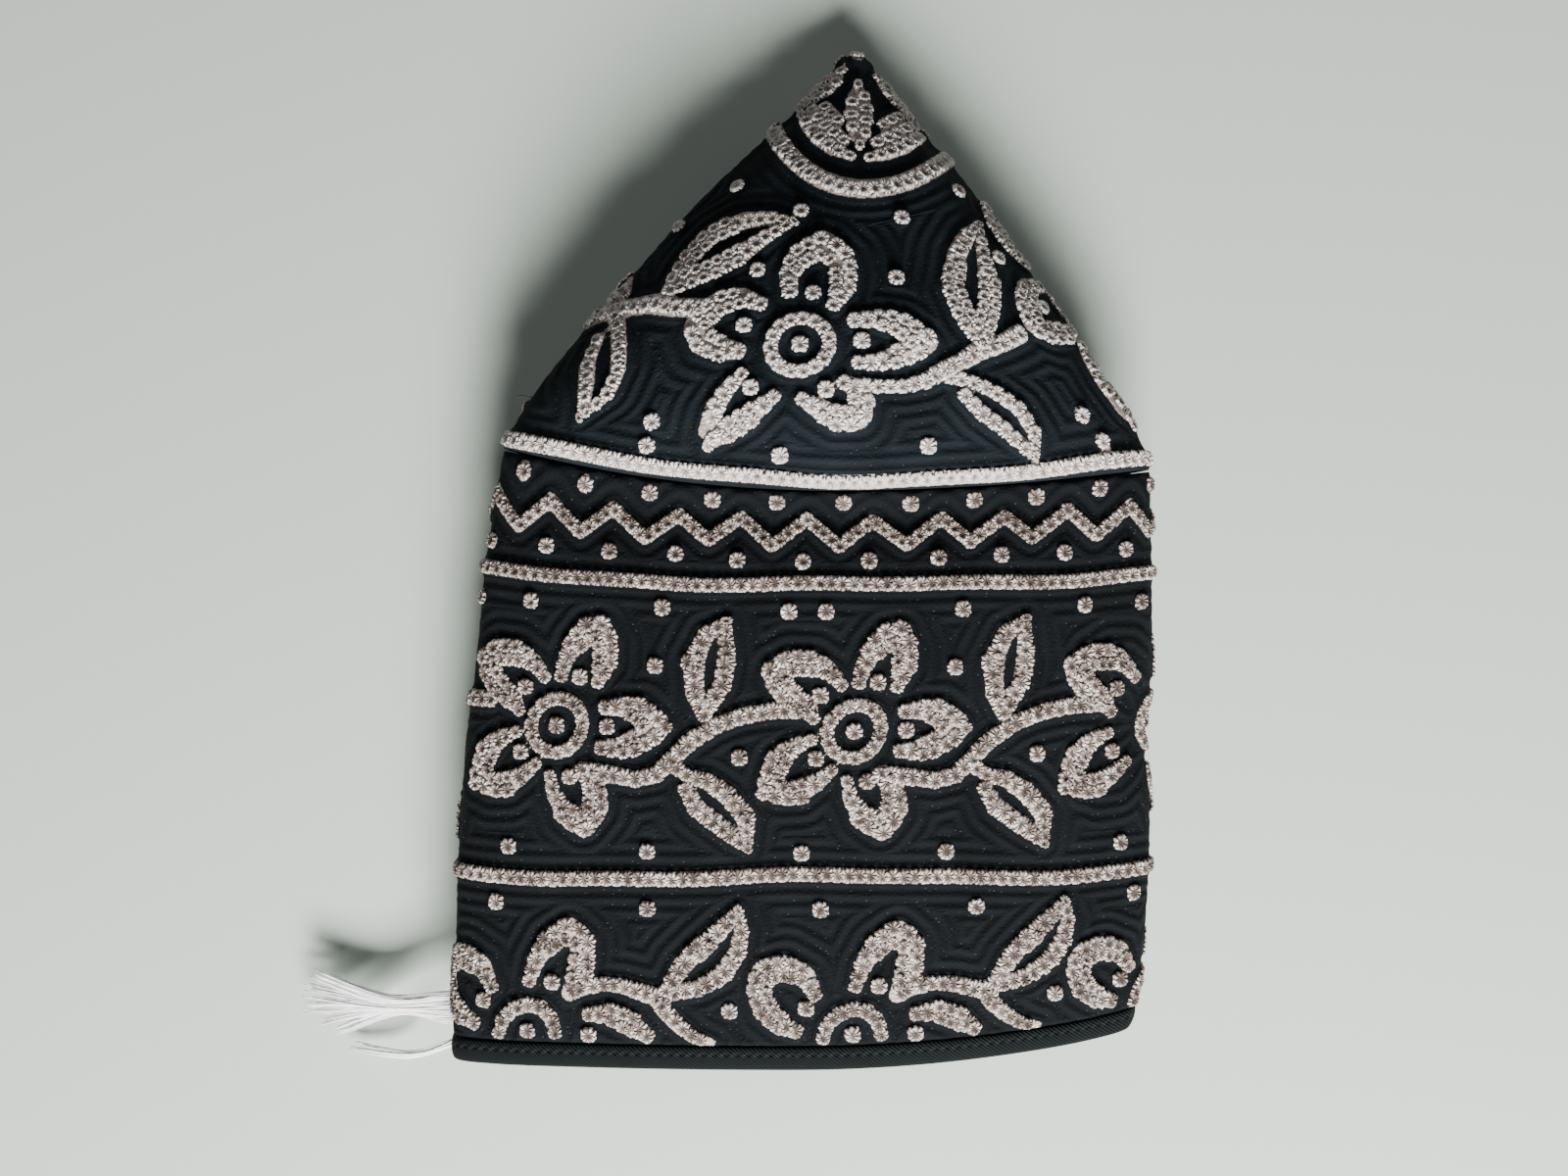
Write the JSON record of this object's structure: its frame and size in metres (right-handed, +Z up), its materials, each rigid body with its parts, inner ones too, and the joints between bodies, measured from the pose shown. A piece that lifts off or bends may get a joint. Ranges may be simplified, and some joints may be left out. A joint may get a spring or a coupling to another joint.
{
  "type": "folded embroidered kuma cap",
  "caption": "Brimless cap with a tall embroidered band and a round crown, folded flat with tucked sides and a pointed crown, with loose threads at its hem.",
  "frame": {"origin": "on the flat face of the cap's back that rests on the surface, below the middle of the cap, 92 mm above the hem line", "axes": "+Y from the hem to the crown's point, +X to the cap's right as the front is seen from above, +Z up from the surface"},
  "size_m": [0.18, 0.2147, 0.0418],
  "materials": {
    "crown_cotton": "matt quilted black cotton",
    "band_cotton": "matt quilted black cotton",
    "binding_cotton": "matt black cotton twill",
    "white_thread": "soft white cotton thread",
    "cream_thread": "silky pale cream embroidery thread"
  },
  "bodies": {
    "root": {"crown": "crown_cotton", "band": "band_cotton", "hem_binding": "binding_cotton", "thread_tassel": "white_thread"}
  },
  "joints": []
}
